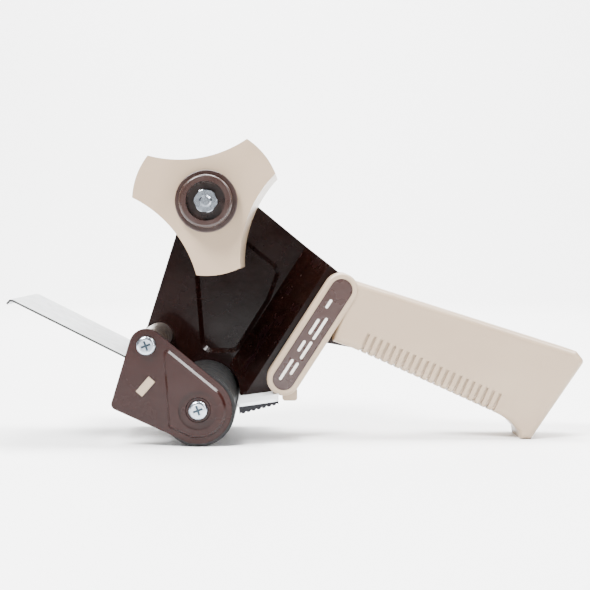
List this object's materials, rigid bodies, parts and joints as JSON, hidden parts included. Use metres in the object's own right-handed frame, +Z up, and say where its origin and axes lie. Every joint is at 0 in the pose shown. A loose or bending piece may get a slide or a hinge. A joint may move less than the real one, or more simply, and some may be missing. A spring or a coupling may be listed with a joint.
{
  "type": "tape gun dispenser",
  "caption": "Hand-held packing tape dispenser: sheet-steel frame and side plate carrying rollers and a cutting blade, a braked lobed hub for the tape roll, and a pistol-style handle.",
  "frame": {"origin": "bottom centre of the object's bounding box, on the surface it stands on", "axes": "+X from the tongue to the handle, +Y from the open loading side to the closed frame side, +Z up"},
  "size_m": [0.3022, 0.0932, 0.1587],
  "materials": {
    "frame_paint": "glossy dark brown paint",
    "side_plate_paint": "glossy brown paint",
    "roller_rubber": "matte black",
    "roller_core_plastic": "matte",
    "bush_nylon": "satin",
    "guide_roller_steel": "satin",
    "axle_steel": "ground",
    "zinc": "bright zinc plate",
    "beige_plastic": "moulded, satin gloss",
    "tongue_steel": "satin",
    "holder_steel": "bright zinc plate",
    "blade_steel": "hardened steel",
    "fibre": "fibre",
    "cap_plastic": "moulded, satin gloss",
    "spring_steel": "drawn wire",
    "label_plastic": "gloss"
  },
  "bodies": {
    "frame": {"main_frame": "frame_paint", "side_plate": "side_plate_paint", "roller_axle": "axle_steel", "guide_axle": "axle_steel", "plate_screws": "zinc", "guide_bar": "beige_plastic", "tongue": "tongue_steel", "tongue_rivets": "zinc", "blade_holder": "holder_steel", "blade": "blade_steel", "blade_screws": "zinc", "blade_nuts": "zinc", "hub_bolt": "zinc", "jam_nut": "zinc", "friction_washer": "fibre", "spring_seat": "zinc", "brake_spring": "spring_steel", "handle_near": "beige_plastic", "handle_far": "beige_plastic", "handle_screws": "zinc", "label_plate": "label_plastic"},
    "application_roller": {"roller_tyre": "roller_rubber", "roller_core": "roller_core_plastic", "roller_bushes": "bush_nylon"},
    "guide_roller_body": {"guide_roller": "guide_roller_steel", "guide_bushes": "bush_nylon"},
    "hub_body": {"hub": "beige_plastic", "hub_bushes": "bush_nylon"},
    "brake_cap_body": {"brake_cap": "cap_plastic"},
    "brake_nut_body": {"brake_nut": "zinc"}
  },
  "joints": [
    {"name": "application_roller_spin", "type": "hinge", "parent": "frame", "child": "application_roller", "pos_m": [-0.05271, 0.00205, 0.01905], "axis": [0, 1, 0], "continuous": true},
    {"name": "guide_roller_spin", "type": "hinge", "parent": "frame", "child": "guide_roller_body", "pos_m": [-0.07921, 0.00205, 0.0522], "axis": [0, 1, 0], "continuous": true},
    {"name": "hub_spin", "type": "hinge", "parent": "frame", "child": "hub_body", "pos_m": [-0.04831, 0.00205, 0.1259], "axis": [0, 1, 0], "continuous": true},
    {"name": "brake_cap_slide", "type": "slide", "parent": "frame", "child": "brake_cap_body", "axis": [0, 1, 0], "range_m": [-0.0019, 0.00126], "deforming": ["brake_spring"]},
    {"name": "brake_nut_turn", "type": "hinge", "parent": "brake_cap_body", "child": "brake_nut_body", "pos_m": [-0.04831, 0.00205, 0.1259], "axis": [0, 1, 0], "range_deg": [-540, 360]}
  ],
  "couplings": [
    {"joint": "brake_nut_turn", "follows": "brake_cap_slide", "rad_per_m": 4947.4}
  ]
}
